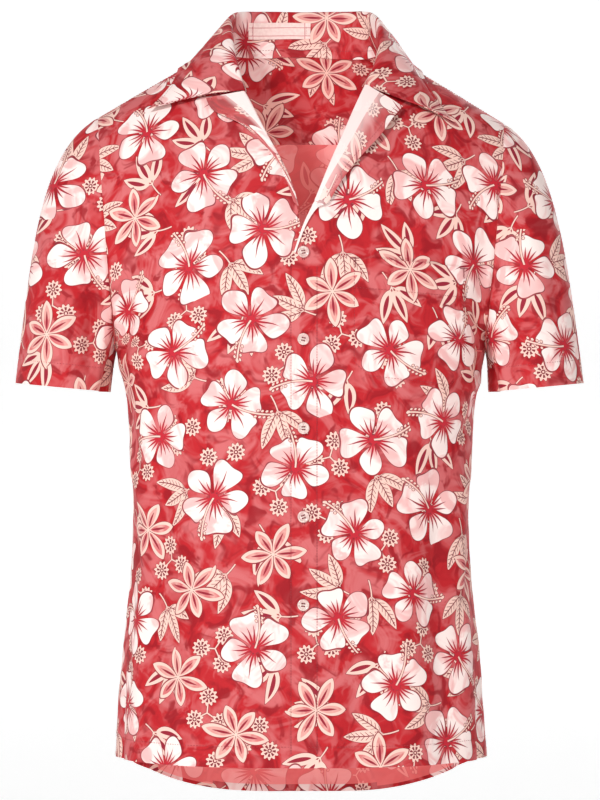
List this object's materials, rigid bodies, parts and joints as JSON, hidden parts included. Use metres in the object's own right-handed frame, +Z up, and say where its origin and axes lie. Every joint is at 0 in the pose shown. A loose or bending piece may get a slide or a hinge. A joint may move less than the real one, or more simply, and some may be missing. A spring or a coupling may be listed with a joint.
{
  "type": "short-sleeved aloha shirt",
  "caption": "Hollow short-sleeved button-front shirt as worn, with an open notched camp collar, back yoke, chest pocket and curved back tail.",
  "frame": {"origin": "between the wearer's shoulders, at the height where the shoulder line comes out from under the collar", "axes": "+X towards the wearer's left, +Y towards the wearer's back, +Z up"},
  "size_m": [0.5562, 0.2943, 0.7789],
  "materials": {
    "printed_cloth": "matte woven cloth, red ground with a pale flower print",
    "label_cloth": "plain woven label",
    "buttons": "pearl-like, pinkish white"
  },
  "bodies": {
    "root": {"back": "printed_cloth", "yoke": "printed_cloth", "front_right": "printed_cloth", "front_left": "printed_cloth", "lapel_right": "printed_cloth", "lapel_left": "printed_cloth", "collar": "printed_cloth", "neck_label": "label_cloth", "sleeve_right": "printed_cloth", "sleeve_left": "printed_cloth", "pocket": "printed_cloth", "button_1": "buttons", "button_2": "buttons", "button_3": "buttons", "button_4": "buttons", "button_5": "buttons"}
  },
  "joints": []
}
